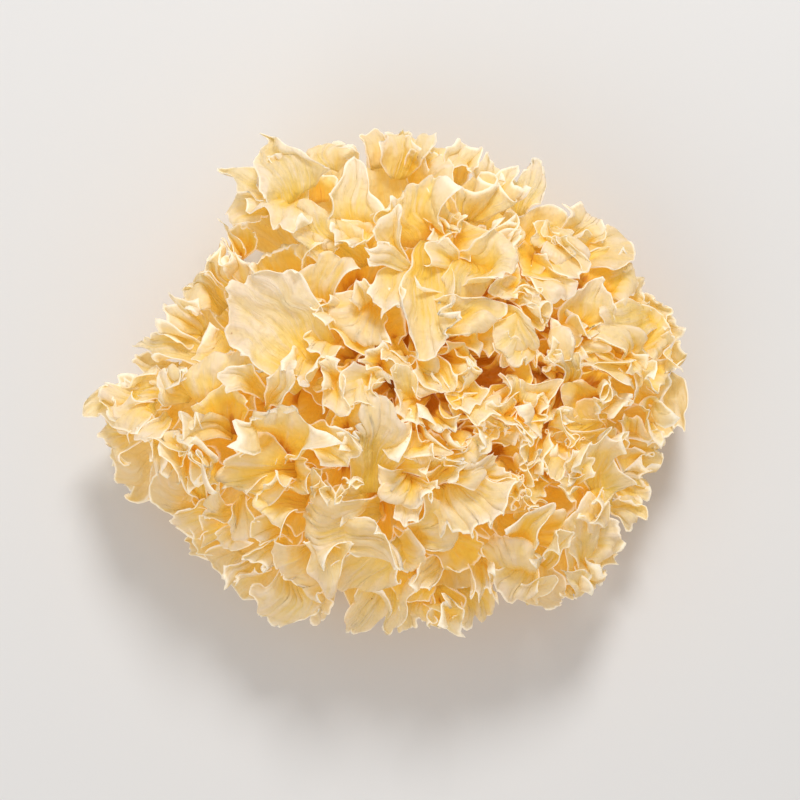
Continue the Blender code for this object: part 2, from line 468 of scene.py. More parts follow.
fronds = []
chance = random.Random(7)
for ring, values in rings.items():
    for number, row in enumerate(values["rows"], 1):
        ruffle = values["ruffle"] * chance.uniform(0.75, 1.0)
        swing = {"ruffle": ruffle, "curl": values["curl"], "cup": chance.uniform(-2.5, 2.5)}
        swing["waves"] = row[3] / growth["waveLength"] * chance.uniform(1.7, 2.2)
        swing["phase"] = chance.uniform(0, 2 * math.pi)
        fronds.append({
            "node": f"{ring}_frond_{number:02d}", "row": row, "swing": swing, "start": 0,
            "lobes": chance.uniform(1.2, 2.2), "lobePhase": chance.uniform(0, 2 * math.pi),
            "lobeDepth": chance.uniform(0.05, 0.11), "corner": chance.uniform(0.05, 0.12),
            "seed": len(fronds) + 1, "reach": values["reach"], **mainFrond,
        })
mainCount = len(fronds)
print("main fronds:", mainCount)


# The small fronds that crowd between them

smallFronds = {
    "count": 150,
    "tries": 14,
    "lowest": -0.12,           # cosine of the widest angle from straight up
    "spread": 0.97,
    "halfWidth": (7, 12),
    "start": (0.42, 0.68),
    "reach": (0.66, 0.90),
    "crown": 62,
    "turn": 85,
    "cells": (26, 12),
}


def outlineReach(heading):
    # the distance of the outer rims at this compass angle
    rows = sorted(rings["outer"]["rows"])
    angles = [row[0] for row in rows]
    reaches = [row[1] for row in rows]
    return np.interp(heading % 360, angles, reaches, period=360)


small = random.Random(21)
rims = []


def rimLine(row):
    angle, distance, height, halfWidth, turn = row
    angle, turn = math.radians(angle), math.radians(turn)
    middle = np.array([math.cos(angle) * distance, math.sin(angle) * distance, height])
    stroke = np.array([-math.sin(angle + turn), math.cos(angle + turn), 0])
    return [middle + stroke * halfWidth * share for share in (-1, -0.5, 0, 0.5, 1)]


for frond in fronds:
    rims.extend(rimLine(frond["row"]))
for number in range(smallFronds["count"]):
    best = None
    for attempt in range(smallFronds["tries"]):
        heading = small.uniform(0, 360)
        polar = math.acos(small.uniform(smallFronds["lowest"], 1))
        edge = outlineReach(heading) * smallFronds["spread"]
        far = small.uniform(*smallFronds["reach"])
        far = far / math.hypot(math.sin(polar) / edge, math.cos(polar) / smallFronds["crown"])
        row = (heading, far * math.sin(polar), middleHeight + far * math.cos(polar),
               small.uniform(*smallFronds["halfWidth"]), small.uniform(-1, 1) * smallFronds["turn"])
        line = rimLine(row)
        room = min(np.linalg.norm(np.array(rims) - point, axis=1).min() for point in line[::2])
        if best is None or room > best[0]:
            best = (room, row, line)
    room, row, line = best
    rims.extend(line)
    fronds.append({
        "node": None, "row": row, "start": small.uniform(*smallFronds["start"]),
        "lobes": small.uniform(1, 2), "lobePhase": small.uniform(0, 6.28),
        "lobeDepth": small.uniform(0.03, 0.1), "corner": small.uniform(0.05, 0.16), "cornerPower": 3,
        "cup": small.uniform(-2.5, 2.5), "roll": small.uniform(-80, 110), "rollPower": 2,
        "folds": [(small.uniform(11, 16), small.uniform(0.6, 1.0), 1.0), (5.5, 0.35, 2.5)],
        "ragged": 0.08, "lip": small.uniform(-50, 50), "reach": 1, "seed": 100 + number,
        "cells": smallFronds["cells"],
    })
print("with small fronds:", len(fronds))


# The petals on the outside of the head, listed one by one, and the frills between them

dome = {"foot": middleHeight, "rise": 60, "spread": 1.02, "least": 0.08}

# tone pushes a petal towards amber: for the cups it is partly painted shade inside the cup, and the amber
# petals sunk into the gaps carry painted shade of the gaps over the head's own amber there
petalKinds = {
    "leaf": {
        "sink": 9, "rootShare": 0.60, "cupTurn": (-20, 20), "roll": (-15, 10), "lip": 25,
        "folds": 0.40, "corner": 0.85, "cornerPower": 1.15, "lobeDepth": 0.03, "ragged": 0.05, "tone": 0.0,
    },
    "shield": {
        "sink": 14, "rootShare": 0.55, "cupTurn": (-30, -15), "roll": (-20, 0), "lip": 25,
        "folds": 0.40, "corner": 0.42, "cornerPower": 2.2, "lobeDepth": 0.08, "ragged": 0.12, "tone": -0.15,
    },
    "smooth": {
        "sink": 14, "rootShare": 0.28, "cupTurn": (-70, 60), "roll": (-60, 50), "lip": 35,
        "folds": 0.25, "corner": 0.36, "cornerPower": 2.4, "lobeDepth": 0.12, "ragged": 0.10, "tone": 0.0,
    },
    "hood": {
        "sink": 12, "rootShare": 0.35, "cupTurn": (-110, -80), "roll": (-60, -30), "lip": 50,
        "folds": 0.25, "corner": 0.40, "cornerPower": 2.2, "lobeDepth": 0.10, "ragged": 0.08, "tone": 0.15,
    },
    "cup": {
        "sink": 16, "rootShare": 0.45, "cupTurn": (70, 105), "roll": (10, 50), "lip": -100,
        "folds": 0.25, "corner": 0.42, "cornerPower": 2.2, "lobeDepth": 0.10, "ragged": 0.08, "tone": 0.6,
    },
    "pointed": {
        "sink": 13, "rootShare": 0.35, "cupTurn": (-35, 35), "roll": (-25, 25), "lip": 30,
        "folds": 0.30, "corner": 0.75, "cornerPower": 1.2, "lobeDepth": 0.03, "ragged": 0.05, "tone": 0.1,
    },
    "frilly": {
        "sink": 14, "rootShare": 0.30, "cupTurn": (-70, 70), "roll": (-40, 40), "lip": 40,
        "folds": 0.75, "corner": 0.34, "cornerPower": 2.2, "lobeDepth": 0.20, "ragged": 0.12, "tone": 0.0,
    },
    "amber": {
        "sink": 9, "rootShare": 0.50, "cupTurn": (-50, 50), "roll": (-20, 20), "lip": 40,
        "folds": 0.30, "corner": 0.30, "cornerPower": 2.5, "lobeDepth": 0.08, "ragged": 0.05, "tone": 1.0,
    },
    "glassy": {
        "sink": 11, "rootShare": 0.40, "cupTurn": (-60, 20), "roll": (-30, 10), "lip": 40,
        "folds": 0.30, "corner": 0.34, "cornerPower": 2.3, "lobeDepth": 0.10, "ragged": 0.06, "tone": 0.1,
    },
}

# A row is one petal: its kind, then in mm the x and y of its root, the x and y of its rim,
# its half width and how far it is lifted off the dome.
petals = [
    # the top left corner
    ("leaf", -22, 50, -36, 72, 9.0, 9), ("leaf", -28, 54, -46, 59, 6.0, 6),
    ("smooth", -34, 49, -36, 60, 4.0, -4), ("leaf", -34, 50, -46, 46, 5.0, -1),
    ("smooth", -27, 47, -27, 62, 7.0, 2), ("hood", -17, 56, -18, 67, 7.0, -1),
    ("pointed", -9, 41, -9, 61, 7.5, 3), ("amber", -17, 47, -18, 57, 5.0, -6),
    ("smooth", -8, 30, -20, 51, 8.0, 3), ("frilly", -24, 55, -33, 42, 9.5, 5),
    ("cup", -26, 26, -28, 39, 8.0, -3), ("smooth", -7, 45, -14, 34, 4.5, 1),
    ("smooth", -14, 18, -16, 35, 5.8, 1), ("amber", -40, 34, -38, 44, 4.0, -8),
    # the broad petal left of the middle, and the frills to its left
    ("pointed", -37, 34, -47, 44, 1.8, -6), ("pointed", -36, 32, -46, 38, 1.8, -6),
    ("shield", -20, 4, -43, 27, 14.0, 7), ("frilly", -44, 20, -56, 25, 5.5, -2),
    ("frilly", -49, 13, -61, 19, 6.0, -3), ("frilly", -41, 25, -46, 36, 5.0, -3),
    ("frilly", -45, 24, -52, 32, 4.5, -4), ("frilly", -37, 27, -40, 35, 4.0, -4),
    ("smooth", -51, 6, -68, 10, 6.0, -2), ("glassy", -59, 3, -71, 4, 4.0, -5),
    ("hood", -44, -4, -45, 10, 11.0, 1), ("smooth", -35, -4, -44, 3, 4.5, 2),
    ("frilly", -51, -3, -60, 3, 5.5, 1), ("amber", -44, -16, -45, -2, 7.0, -4),
    ("smooth", -34, -8, -23, 5, 3.6, 2),
    # the middle
    ("smooth", -13, 11, -20, 5, 5.0, -2), ("frilly", -9, 15, -19, 17, 4.5, -1),
    ("amber", -4, 17, -13, 8, 6.0, -4), ("amber", -8, 4, -17, -5, 6.0, -4),
    ("cup", 2, 3, -8, 6, 5.0, -3), ("smooth", 0, 24, -11, 11, 7.5, -1),
    ("smooth", 9, 10, 13, -3, 5.0, -2), ("frilly", 12, 8, 21, 1, 5.0, -3),
    ("smooth", 4, 12, 0, 0, 5.0, -2), ("cup", 12, 2, 22, 11, 6.0, -4),
    ("frilly", 3, 3, 12, 3, 4.0, -1), ("frilly", -20, 0, -10, -8, 5.5, 0),
    ("smooth", 1, 0, -14, -3, 6.0, -1), ("frilly", -8, 2, -4, -9, 5.0, -1),
    ("smooth", 10, -3, 1, -10, 5.0, -1), ("amber", -5, -14, -17, -9, 6.0, -4),
    ("frilly", -18, 8, -24, -2, 5.0, 0), ("smooth", -16, -14, -6, -3, 5.0, -2),
    ("cup", -12, -3, -19, 4, 4.5, -1), ("frilly", -6, 6, 4, -1, 4.5, 0),
    # the left tip
    ("leaf", -63, -7, -86, -8, 9.0, 1), ("frilly", -66, -6, -80, -4, 5.0, 1),
    ("smooth", -62, -10, -76, -11, 5.0, 2), ("smooth", -65, -12, -81, -17, 6.5, -3),
    ("glassy", -62, -18, -77, -24, 6.5, -8), ("frilly", -68, -6, -78, -3, 4.5, 0),
    ("frilly", -60, -4, -71, -2, 4.5, -1), ("smooth", -58, -11, -67, -18, 4.0, 1),
    ("smooth", -58, -16, -64, -25, 3.6, -1), ("glassy", -53, -22, -66, -30, 5.0, -5),
    # the cups at the lower left
    ("cup", -31, -25, -30, -6, 11.0, 2), ("smooth", -25, -12, -10, -20, 5.0, 1),
    ("hood", -22, -24, -48, -28, 5.5, 2), ("cup", -20, -32, -35, -33, 7.0, 1),
    ("smooth", -1, -36, -25, -38, 7.5, 2), ("hood", -4, -31, -1, -5, 8.0, 3),
    ("cup", -9, -18, -15, -11, 4.0, -1), ("frilly", -9, -30, -14, -24, 4.0, 1),
    ("glassy", -51, -30, -65, -27, 6.5, -4), ("smooth", -48, -35, -61, -38, 6.5, -3),
    ("frilly", -52, -30, -57, -14, 4.5, 1), ("cup", -50, -29, -47, -16, 4.5, -1),
    ("frilly", -42, -34, -50, -32, 4.0, 0), ("smooth", -38, -31, -42, -43, 3.2, 0),
    ("smooth", -45, -35, -53, -43, 5.5, -4), ("smooth", -39, -37, -44, -47, 4.5, -2),
    ("glassy", -46, -42, -57, -46, 5.0, -6), ("glassy", -40, -45, -49, -53, 5.5, -5),
    ("smooth", -36, -47, -43, -56, 4.5, -4), ("frilly", -29, -41, -40, -42, 5.0, 1),
    ("frilly", -27, -47, -39, -50, 5.0, 0), ("smooth", -19, -44, -30, -57, 8.0, 0),
    # the lower edge
    ("pointed", -15, -41, -16, -58, 6.0, 2), ("shield", -26, -52, -31, -69, 8.5, 1),
    ("smooth", -22, -56, -20, -68, 3.6, -3), ("smooth", 3, -45, -13, -63, 7.0, 2),
    ("smooth", -2, -56, -9, -70, 5.0, -4), ("pointed", 2, -55, 2, -72, 6.0, -3),
    ("smooth", 8, -56, 8, -70, 6.5, -4), ("frilly", 14, -54, 16, -68, 6.5, -4),
    ("frilly", 21, -54, 26, -66, 6.0, -4), ("smooth", 15, -47, 7, -58, 4.0, 0),
    ("amber", 6, -50, 4, -62, 7.0, -8), ("smooth", -15, -38, 5, -50, 5.5, 3),
    # the lower right
    ("smooth", 16, -24, 27, -39, 8.5, 2), ("frilly", 8, -25, -1, -34, 4.5, 3),
    ("frilly", 6, -27, 14, -34, 4.5, 3), ("smooth", 4, -31, 5, -40, 4.5, 1),
    ("smooth", 5, -46, 21, -38, 5.0, 3), ("amber", 14, -40, 26, -48, 9.0, -8),
    ("pointed", 35, -44, 43, -31, 6.0, 3), ("smooth", 43, -50, 47, -39, 4.5, 0),
    ("smooth", 53, -55, 52, -30, 5.0, 0), ("glassy", 41, -48, 46, -62, 6.5, -5),
    ("smooth", 37, -48, 33, -60, 5.5, 0), ("frilly", 24, -48, 26, -59, 5.0, -1),
    ("frilly", 51, -49, 57, -58, 5.0, -4), ("smooth", 53, -41, 67, -44, 5.5, 0),
    ("glassy", 55, -45, 66, -51, 4.5, -4), ("frilly", 50, -45, 62, -55, 4.5, -2),
    ("smooth", 55, -30, 59, -10, 5.0, 4), ("pointed", 54, -25, 70, -30, 8.0, 3),
    ("smooth", 55, -27, 60, -39, 6.0, 3), ("smooth", 49, -26, 57, -18, 5.0, 4),
    ("glassy", 64, -10, 81, -15, 5.5, -4), ("frilly", 64, -17, 79, -20, 5.5, -4),
    ("frilly", 63, -23, 77, -25, 5.0, -5), ("frilly", 64, -28, 75, -32, 4.5, -5),
    ("frilly", 61, -34, 71, -39, 4.5, -4),
    # the upper right
    ("cup", 10, 38, 9, 56, 13.0, 1), ("smooth", 2, 32, 1, 50, 4.5, 4),
    ("frilly", 4, 31, -4, 35, 4.0, 3), ("frilly", 4, 55, 8, 69, 8.0, -1),
    ("smooth", 13, 56, 17, 66, 6.0, -2), ("glassy", -3, 58, -5, 68, 4.2, -3),
    ("smooth", 20, 54, 23, 63, 4.5, -1), ("smooth", 27, 51, 29, 61, 4.5, -2),
    ("frilly", 31, 45, 35, 59, 4.5, -2), ("smooth", 38, 46, 41, 60, 4.0, -3),
    ("frilly", 24, 44, 27, 56, 5.0, 2), ("cup", 19, 33, 36, 34, 8.0, 3),
    ("frilly", 19, 33, 13, 39, 4.0, 3), ("smooth", 9, 39, 12, 6, 10.0, 2),
    ("pointed", 12, 20, 34, 17, 6.5, 3), ("smooth", 25, 38, 26, 23, 7.0, 2),
    ("smooth", 2, 34, 3, 16, 5.0, 1), ("smooth", 4, -7, 5, 4, 3.4, 1),
    ("smooth", 42, 33, 47, 22, 5.0, 3), ("smooth", 37, 27, 31, 21, 3.0, 1),
    ("frilly", 42, 23, 38, 17, 3.5, 0), ("smooth", 39, 35, 53, 33, 5.5, 2),
    ("frilly", 43, 43, 51, 35, 5.0, 2), ("smooth", 49, 40, 57, 49, 7.0, -2),
    ("glassy", 53, 37, 66, 35, 6.0, -2), ("frilly", 55, 27, 68, 28, 6.0, -2),
    ("smooth", 49, 13, 59, 29, 8.0, 0), ("smooth", 66, 2, 65, 19, 5.5, 4),
    ("pointed", 67, 2, 50, 5, 4.0, 3), ("cup", 74, 9, 76, -3, 8.0, 1),
    ("smooth", 70, 13, 78, 8, 4.0, 1), ("glassy", 78, 1, 83, -14, 5.0, -3),
    ("frilly", 70, 20, 79, 20, 5.0, -2), ("frilly", 72, 13, 83, 14, 5.0, -3),
    ("frilly", 75, 6, 85, 4, 5.0, -3), ("frilly", 65, 22, 72, 27, 4.5, -3),
    ("frilly", 48, -5, 48, 17, 3.5, 2), ("smooth", 36, -9, 38, 1, 5.0, 0),
    ("smooth", 10, 50, 17, 60, 7.0, -6), ("amber", 50, 26, 63, 32, 8.0, -7),
    ("amber", 60, 12, 75, 16, 8.0, -7), ("amber", 50, -9, 60, 0, 7.0, -6),
    ("amber", 24, -2, 38, 3, 7.0, -9),
]

# x, y and the sizes are in mm. Left of thinLeftOf a place is passed over with the chance thinShare.
frills = {
    "count": 130, "tries": 20, "halfWidth": (3.0, 6.5), "length": (8, 15), "lift": (-5, 2), "seed": 33,
    "x": (-84, 84), "y": (-70, 66), "reach": 0.86, "thinLeftOf": 8, "thinShare": 0.7,
    "kinds": ("smooth", "smooth", "hood", "frilly", "frilly", "cup", "pointed"),
}


petalSizes = {
    "broadFrom": 6.2,
    "broadCells": (42, 18),
    "narrowCells": (32, 14),
    "fullCup": 8,              # a half width in mm: narrower petals cup less
    "leastCup": 0.4,
}


def addPetal(kind, row, seed):
    # a petal of this kind, with its own draws
    values = petalKinds[kind]
    draw = random.Random(seed)
    fold = values["folds"]
    halfWidth = row[4]
    broad = halfWidth > petalSizes["broadFrom"]
    side = draw.choice((-1, 1))
    cupShare = min(1, max(petalSizes["leastCup"], halfWidth / petalSizes["fullCup"]))
    fronds.append({
        "node": None, "row": row, "seed": seed, "reach": 1, "rollPower": 3, "clear": kind == "glassy",
        "rootShare": values["rootShare"], "corner": values["corner"],
        "cornerPower": values["cornerPower"], "ragged": values["ragged"],
        "cells": petalSizes["broadCells"] if broad else petalSizes["narrowCells"],
        "lip": values["lip"] * (side if kind in ("smooth", "frilly", "pointed") else 1),
        "lobeDepth": values["lobeDepth"] * (0.7 if broad else 1),
        "sink": values["sink"] * draw.uniform(0.8, 1.2),
        "sweep": draw.uniform(-0.35, 0.35) * halfWidth,
        "cupTurn": draw.uniform(*values["cupTurn"]) * cupShare,
        "roll": draw.uniform(*values["roll"]),
        "lobes": draw.uniform(0.8, 1.6) if broad else draw.uniform(1.5, 3),
        "lobePhase": draw.uniform(0, 6.28),
        "tone": values["tone"] + draw.uniform(-0.15, 0.25),
        "folds": [(draw.uniform(9, 14), fold, 1.0), (draw.uniform(4.5, 6), fold * 0.5 + 0.15, 2.6),
                  (draw.uniform(2.4, 3.2), 0.32, 5)],
    })


for number, (kind, *row) in enumerate(petals):
    addPetal(kind, tuple(row), 500 + number)
spots = []
for kind, rootX, rootY, tipX, tipY, halfWidth, lift in petals:
    for share in (0.25, 0.5, 0.75, 1):
        spots.append((rootX + (tipX - rootX) * share, rootY + (tipY - rootY) * share, halfWidth * 0.75))
draw = random.Random(frills["seed"])
for number in range(frills["count"]):
    best = None
    for attempt in range(frills["tries"]):
        x, y = draw.uniform(*frills["x"]), draw.uniform(*frills["y"])
        if x < frills["thinLeftOf"] and draw.random() < frills["thinShare"]:
            continue        # fewer on the left, where the petals are broad
        heading = math.degrees(math.atan2(y, x)) % 360
        if math.hypot(x, y) > outlineReach(heading) * frills["reach"]:
            continue
        room = min(math.hypot(x - spotX, y - spotY) - size for spotX, spotY, size in spots)
        if best is None or room > best[0]:
            best = (room, x, y)
    if best is None:
        continue
    room, x, y = best
    spots.append((x, y, 0))
    way, length = draw.uniform(0, 2 * math.pi), draw.uniform(*frills["length"])
    row = (x - math.cos(way) * length, y - math.sin(way) * length, x, y,
           draw.uniform(*frills["halfWidth"]), draw.uniform(*frills["lift"]))
    addPetal(draw.choice(frills["kinds"]), row, 900 + number)
print("with petals:", len(fronds))


clearOf = {"below": 12, "size": 5, "around": 1.2}     # in mm, and a share of the petal's size


def underPetal(frond):
    # whether a small frond's rim would come up through a broad petal
    angle, distance, height, halfWidth, turn = frond["row"]
    x, y = distance * math.cos(math.radians(angle)), distance * math.sin(math.radians(angle))
    if height < domeHeight(x, y) - clearOf["below"]:
        return False
    near = [size for spotX, spotY, size in spots
            if math.hypot(x - spotX, y - spotY) < size * clearOf["around"]]
    return any(size > clearOf["size"] for size in near)


fronds = [frond for frond in fronds if frond["node"] or "sink" in frond or not underPetal(frond)]
print("left clear of the broad petals:", len(fronds))


# Build every middle surface, then find how deep each point sits in the head, as the share of light from all
# around that gets through the sheets to it; the finish uses this for painted shade and for the head's
# deeper amber inside

for frond in fronds:
    frond["points"], frond["across"], frond["rise"] = growFrond(frond)
print("grown")

depths = {
    "cell": 2.5 * mm,
    "steps": 12,
    "opacity": 0.30,
    "pad": 14,
    "weights": {1: 1.0, 0: 0.7, -1: 0.25},     # of what comes from above, the sides and below
}


def cellOf(points):
    return (points - np.array(cadLow)) / depths["cell"] + depths["pad"]


shape = [int((high - low) / depths["cell"]) + 2 * depths["pad"] + 2 for low, high in zip(cadLow, cadHigh)]
crowd = np.zeros(shape)
for frond in fronds:
    points = frond["points"]
    side = np.gradient(points, axis=1)
    up = np.gradient(points, axis=0)
    area = np.linalg.norm(np.cross(side, up), axis=-1)
    index = np.round(cellOf(points)).astype(int).reshape(-1, 3)
    np.add.at(crowd, tuple(index.T), area.ravel())
crowd *= depths["opacity"] / depths["cell"] ** 2      # share of the light that a cell stops
# openness is a mask for painted shade: light from above counts most, light from below least
openSum, weightSum = 0, 0
for x in (-1, 0, 1):
    for y in (-1, 0, 1):
        for z in (-1, 0, 1):
            if x == y == z == 0:
                continue
            span = math.sqrt(x * x + y * y + z * z)
            weight = depths["weights"][z]
            stopped = 0
            for step in range(1, depths["steps"] + 1):
                stopped = stopped + np.roll(crowd, (-x * step, -y * step, -z * step), (0, 1, 2)) * span
            openSum = openSum + np.exp(-stopped) * weight
            weightSum += weight
openness = openSum / weightSum
print("openness from", round(float(openness.min()), 3))


# Thin shells

# The sheet thins from its root to its rim. Bead is the row next to the rim.
shell = {"root": 0.8 * mm, "rim": 0.18 * mm, "bead": 0.18 * mm, "tip": 0.6}


def shellOf(frond):
    points, rise = frond["points"], frond["rise"]
    normal = sheetAxes(points)[2]
    thick = shell["root"] + (shell["rim"] - shell["root"]) * rise ** 0.5
    thick[-1] = shell["rim"] * shell["tip"]
    thick[-2] = shell["bead"]
    offset = normal * thick[..., None] / 2
    front, back = points + offset, points - offset
    rows, columns = rise.shape
    index = np.arange(rows * columns).reshape(rows, columns)
    quads = np.stack([index[:-1, :-1], index[:-1, 1:], index[1:, 1:], index[1:, :-1]], -1).reshape(-1, 4)
    count = rows * columns
    loop = np.concatenate([index[0, :], index[1:, -1], index[-1, -2::-1], index[-2:0:-1, 0]])
    ahead = np.roll(loop, -1)
    walls = np.stack([loop, loop + count, ahead + count, ahead], -1)
    faces = np.concatenate([quads, quads[:, ::-1] + count, walls])
    corners = np.concatenate([front.reshape(-1, 3), back.reshape(-1, 3)])
    return corners, faces


bends = {"leastSpan": 0.2 * mm, "most": 0.8}
placeStep = 3.7     # keeps each sheet's wrinkles apart from the next one's


def sheetValues(frond):
    # what the finish reads: rise, distance to the rim in mm, openness, bend and the sheet's own place
    points, rise, across = frond["points"], frond["rise"], frond["across"]
    tall = np.linalg.norm(np.diff(points, axis=0), axis=-1).sum(axis=0)
    wide = np.linalg.norm(np.diff(points, axis=1), axis=-1).sum(axis=1).max()
    toRim = (1 - rise) * tall / mm
    toSide = (1 - np.abs(across)) * wide / 2 / mm
    edge = np.minimum(toRim, toSide)
    opened = sampleField(openness, cellOf(points))
    # hollow: the bend across the sheet; the finish paints shade into the hollow side of each fold and
    # lightens the bulging side
    around = np.pad(points, ((1, 1), (1, 1), (0, 0)), mode="edge")
    bend = 0
    for first, last in ((around[:-2, 1:-1], around[2:, 1:-1]), (around[1:-1, :-2], around[1:-1, 2:])):
        span = np.linalg.norm(last - first, axis=-1) / 2 + bends["leastSpan"]
        bend = bend + ((first + last) / 2 - points) / span[..., None] ** 2
    hollow = np.sum(bend * sheetAxes(points)[2], axis=-1) * mm * 2
    hollow[[0, -1]] = 0
    hollow[:, [0, -1]] = 0
    hollow = np.clip(hollow, -bends["most"], bends["most"])
    apart = np.full_like(rise, frond["seed"] * placeStep)
    place = np.stack([across * wide / 2, rise * tall, apart], -1)
    return {"rise": rise, "edge": edge, "open": opened, "hollow": hollow, "place": place}


pieces = {}
centres = np.array([frond["points"][-1].mean(axis=0) for frond in fronds[:mainCount]])
for number, frond in enumerate(fronds):
    home = number
    if number >= mainCount:
        home = int(np.linalg.norm(centres - frond["points"][-1].mean(axis=0), axis=1).argmin())
    pieces.setdefault(fronds[home]["node"], []).append(frond)


# The tone of a frond that isn't a petal: a draw, and more for a rim above this height in mm
tones = {"spread": 0.4, "high": 0.5, "highFrom": 40}


def bothSides(values):
    # the same values for the front and the back of a sheet, as one list
    return np.concatenate([values.reshape(-1, *values.shape[2:])] * 2)


def buildPiece(name, members, material):
    corners, faces, values, start = [], [], [], 0
    for frond in members:
        frondCorners, frondFaces = shellOf(frond)
        corners.append(frondCorners)
        faces.append(frondFaces + start)
        start += len(frondCorners)
        sheet = sheetValues(frond)
        tint = random.Random(frond["seed"] * 31).uniform(0, tones["spread"])
        tint = tint + tones["high"] * (frond["row"][2] > tones["highFrom"])
        sheet["tint"] = np.full(frond["rise"].shape, frond.get("tone", tint))
        sheet["clear"] = np.full(frond["rise"].shape, float(frond.get("clear", False)))
        double = {key: bothSides(value) for key, value in sheet.items()}
        double["hollow"][len(double["hollow"]) // 2:] *= -1
        values.append(double)
    corners, faces = np.concatenate(corners), np.concatenate(faces)
    mesh = bpy.data.meshes.new(name)
    mesh.vertices.add(len(corners))
    mesh.vertices.foreach_set("co", corners.astype(np.float32).ravel())
    mesh.loops.add(len(faces) * 4)
    mesh.loops.foreach_set("vertex_index", faces.astype(np.int32).ravel())
    mesh.polygons.add(len(faces))
    mesh.polygons.foreach_set("loop_start", np.arange(0, len(faces) * 4, 4, dtype=np.int32))
    mesh.update(calc_edges=True)
    mesh.validate()
    mesh.shade_smooth()
    for key in ("rise", "edge", "open", "hollow", "tint", "clear"):
        layer = mesh.attributes.new(key, "FLOAT", "POINT")
        layer.data.foreach_set("value", np.concatenate([v[key] for v in values]).astype(np.float32))
    layer = mesh.attributes.new("place", "FLOAT_VECTOR", "POINT")
    places = np.concatenate([v["place"] for v in values])
    layer.data.foreach_set("vector", places.astype(np.float32).ravel())
    mesh.materials.append(material)
    thing = bpy.data.objects.new(name, mesh)
    bpy.context.collection.objects.link(thing)
    return thing


# The finish of the fronds

frondFinish = {
    "white": (0.97, 0.93, 0.87, 1),
    "pale": (0.97, 0.89, 0.64, 1),
    "cream": (0.96, 0.83, 0.38, 1),
    "honey": (0.96, 0.72, 0.11, 1),
    "amber": (0.92, 0.53, 0.04, 1),
    # the deepest colour: painted shade in the pockets between the sheets
    "pocketShade": (0.62, 0.20, 0.01, 1),
    "glassy": (0.84, 0.72, 0.50, 1),
    "speck": (0.16, 0.06, 0.02, 1),
    "through": (0.97, 0.89, 0.61, 1),
    # emission colours: a painted glow standing in for light passing through the sheets, dark orange in the
    # pockets, warm in the open and pale on the rims
    "glowDeep": (0.40, 0.22, 0.02, 1),
    "glowOpen": (0.28, 0.16, 0.03, 1),
    "glowPocket": (0.16, 0.04, 0.00, 1),
    "glowRim": (0.95, 0.90, 0.82, 1),
    "glow": 0.5,
    "seeThrough": 0.45,
    "roughness": 0.38,
    "shine": 0.5,
    # how fine each texture is; a stretch is across the sheet, along it and between sheets
    "cloudScale": 70.0,
    "dentScale": 190.0,
    "creaseScale": 210.0,
    "speckScale": 110.0,
    "grainStretch": (1500, 170, 1),
    "foldStretch": (300, 120, 1),
    # what makes a place deep (0) or open (1), and the depths between which each colour comes in; deep mixes
    # the head's own deeper amber with painted shade in its hollows, pockets and roots, and open brings
    # painted light near the rims
    "depth": {
        "tone": 0.18, "hollow": 0.22, "rise": 0.26, "fromRise": 0.7, "edge": 0.10, "edgeWidth": 5,
        "cloud": 0.34, "folds": 0.14,
    },
    "layers": (
        ("amber", 0.02, 0.12), ("honey", 0.08, 0.26), ("cream", 0.24, 0.48), ("pale", 0.42, 0.66),
        ("white", 0.66, 0.98),
    ),
    # lit: how open to light a place is, over which the painted highlights show
    "lit": (0.08, 0.45),
    # from, to and share of each accent over them: the honey in the fold valleys is painted shade, and the
    # white on the fold ridges and creases is a painted highlight
    "glassyShare": 0.6,
    "shadedFolds": (0.30, 0.48, 0.25),
    "highlightFolds": (0.52, 0.68, 0.45),
    "lightGrain": (0.56, 0.74, 0.35),
    "highlightCrease": (1.4, 2.1, 0.7),
    "rimWidth": (0.05, 0.70),
    # a painted highlight and a painted glow along the rims, both stronger where lit
    "rimHighlight": (0.2, 0.8),        # the share of it in the dark, and what the light adds
    "rimGlow": (0.1, 0.7),
    "speckSize": (0.025, 0.045),
    "speckCloud": (0.5, 0.6),
    "speckShare": 0.8,
    "glowLayers": ((0.03, 0.12), (0.14, 0.60)),
    "bumps": {"dents": 1.7, "folds": 0.6, "grain": 0.20, "crease": 0.75},
    "bumpStrength": 0.9,
    "bumpDistance": 0.0012,
}


